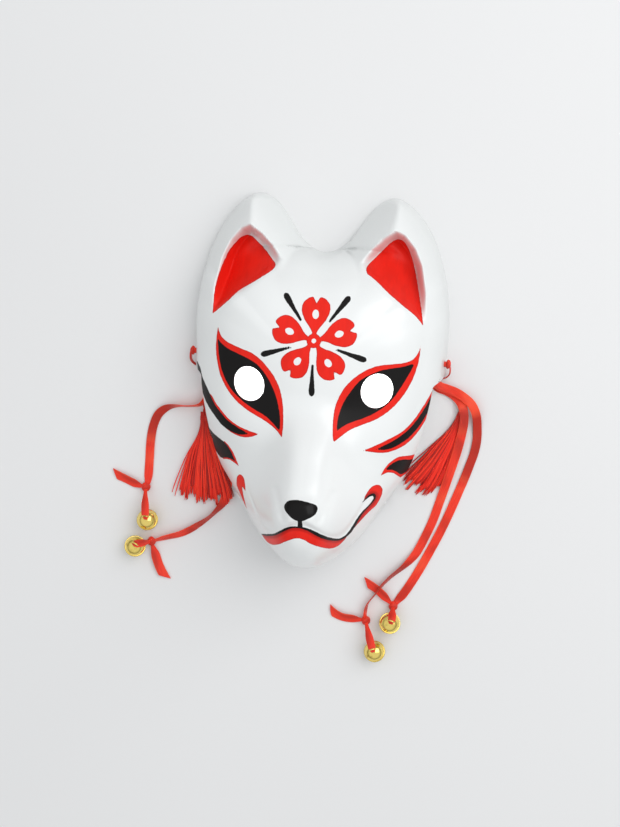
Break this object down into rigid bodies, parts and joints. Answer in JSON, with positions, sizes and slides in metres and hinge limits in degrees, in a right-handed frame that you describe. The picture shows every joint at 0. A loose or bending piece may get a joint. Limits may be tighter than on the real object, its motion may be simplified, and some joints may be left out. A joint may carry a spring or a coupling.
{
  "type": "fox mask",
  "caption": "Lacquered fox face mask lying face up, with recessed ears, cut-out eyes, side ribbons, thread tassels and round bells.",
  "frame": {"origin": "on the surface that the mask lies on, below the middle of the shell's own box", "axes": "+Z out of the face, +Y from the chin towards the ears, +X towards the viewer's right"},
  "size_m": [0.2534, 0.3151, 0.0977],
  "materials": {
    "lacquer": "white lacquer, satin gloss, painted red and black",
    "ribbon": "red satin ribbon",
    "thread": "red rayon thread",
    "brass": "bright pale gold plating"
  },
  "bodies": {
    "root": {"mask_shell": "lacquer", "strap_knot_left": "ribbon", "strap_knot_right": "ribbon", "ribbon_left_upper": "ribbon", "ribbon_left_lower": "ribbon", "ribbon_right_front": "ribbon", "ribbon_right_rear": "ribbon", "tie_left_upper": "ribbon", "tie_left_lower": "ribbon", "tie_right_front": "ribbon", "tie_right_rear": "ribbon", "bell_left_upper": "brass", "bell_left_lower": "brass", "bell_right_front": "brass", "bell_right_rear": "brass", "tassel_left": "thread", "tassel_right": "thread"}
  },
  "joints": []
}
